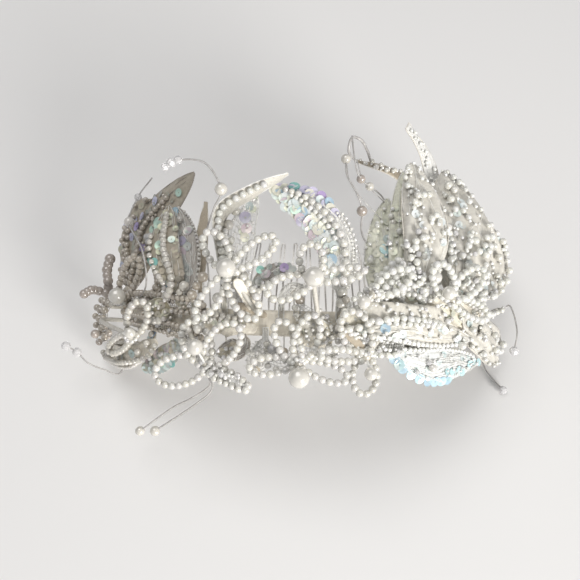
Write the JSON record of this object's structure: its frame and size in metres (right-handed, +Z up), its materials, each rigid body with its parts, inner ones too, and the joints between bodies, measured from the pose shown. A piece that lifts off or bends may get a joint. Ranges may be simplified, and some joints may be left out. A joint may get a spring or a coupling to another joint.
{
  "type": "pearl tiara",
  "caption": "Bridal hair tiara: a satin band with a wire comb, sequinned net leaves, looped pearl flowers and pearl sprays.",
  "frame": {"origin": "the seat: the middle of the satin band's underside, where the band rests on the crown", "axes": "+Z up, -Y towards the brow, +X towards the wearer's left ear, which is the picture's right"},
  "size_m": [0.2155, 0.1336, 0.1169],
  "materials": {
    "satin": "satin",
    "comb_wire": "satin",
    "leaf_net": "net with sequins",
    "pearl": "pearl",
    "pearl_string": "pearl",
    "nylon": "clear"
  },
  "bodies": {
    "root": {"satin_band": "satin", "comb_bar": "comb_wire", "comb_teeth": "comb_wire", "leaf_crest_arch": "leaf_net", "leaf_crest_small": "leaf_net", "leaf_crest_low": "leaf_net", "leaf_crest_net": "leaf_net", "leaf_crest_tall": "leaf_net", "leaf_left_back": "leaf_net", "leaf_left_fold": "leaf_net", "leaf_left_pearl": "leaf_net", "leaf_left_net": "leaf_net", "leaf_left_strip": "leaf_net", "leaf_left_low": "leaf_net", "leaf_left_inner": "leaf_net", "leaf_left_brow": "leaf_net", "leaf_brow_lace": "leaf_net", "leaf_brow_drop": "leaf_net", "leaf_brow_cream": "leaf_net", "leaf_right_upper": "leaf_net", "leaf_right_pearl": "leaf_net", "leaf_right_mid": "leaf_net", "leaf_right_brow": "leaf_net", "leaf_right_wide": "leaf_net", "leaf_right_pale": "leaf_net", "leaf_right_beaded": "leaf_net", "leaf_right_horn": "leaf_net", "leaf_right_back": "leaf_net", "leaf_right_broad": "leaf_net", "leaf_right_rim": "leaf_net", "leaf_right_ear": "leaf_net", "leaf_right_side": "leaf_net", "flower_crest_left": "pearl_string", "flower_crest_middle": "pearl_string", "flower_brow_middle": "pearl_string", "flower_brow_right": "pearl_string", "flower_brow_left": "pearl_string", "flower_temple_left": "pearl_string", "flower_ear_left": "pearl_string", "flower_crest_right": "pearl_string", "flower_temple_right": "pearl_string", "pearl_crest_left": "pearl", "pearl_crest_middle": "pearl", "pearl_brow_middle": "pearl", "pearl_brow_right": "pearl", "pearl_brow_left": "pearl", "pearl_temple_left": "pearl", "pearl_ear_left": "pearl", "pearl_crest_right": "pearl", "pearl_temple_right": "pearl", "spray_crest_left": "nylon", "spray_left": "nylon", "spray_temple_left": "nylon", "spray_brow_left": "nylon", "spray_ear_left": "nylon", "spray_right_back": "nylon", "spray_right": "nylon"}
  },
  "joints": []
}
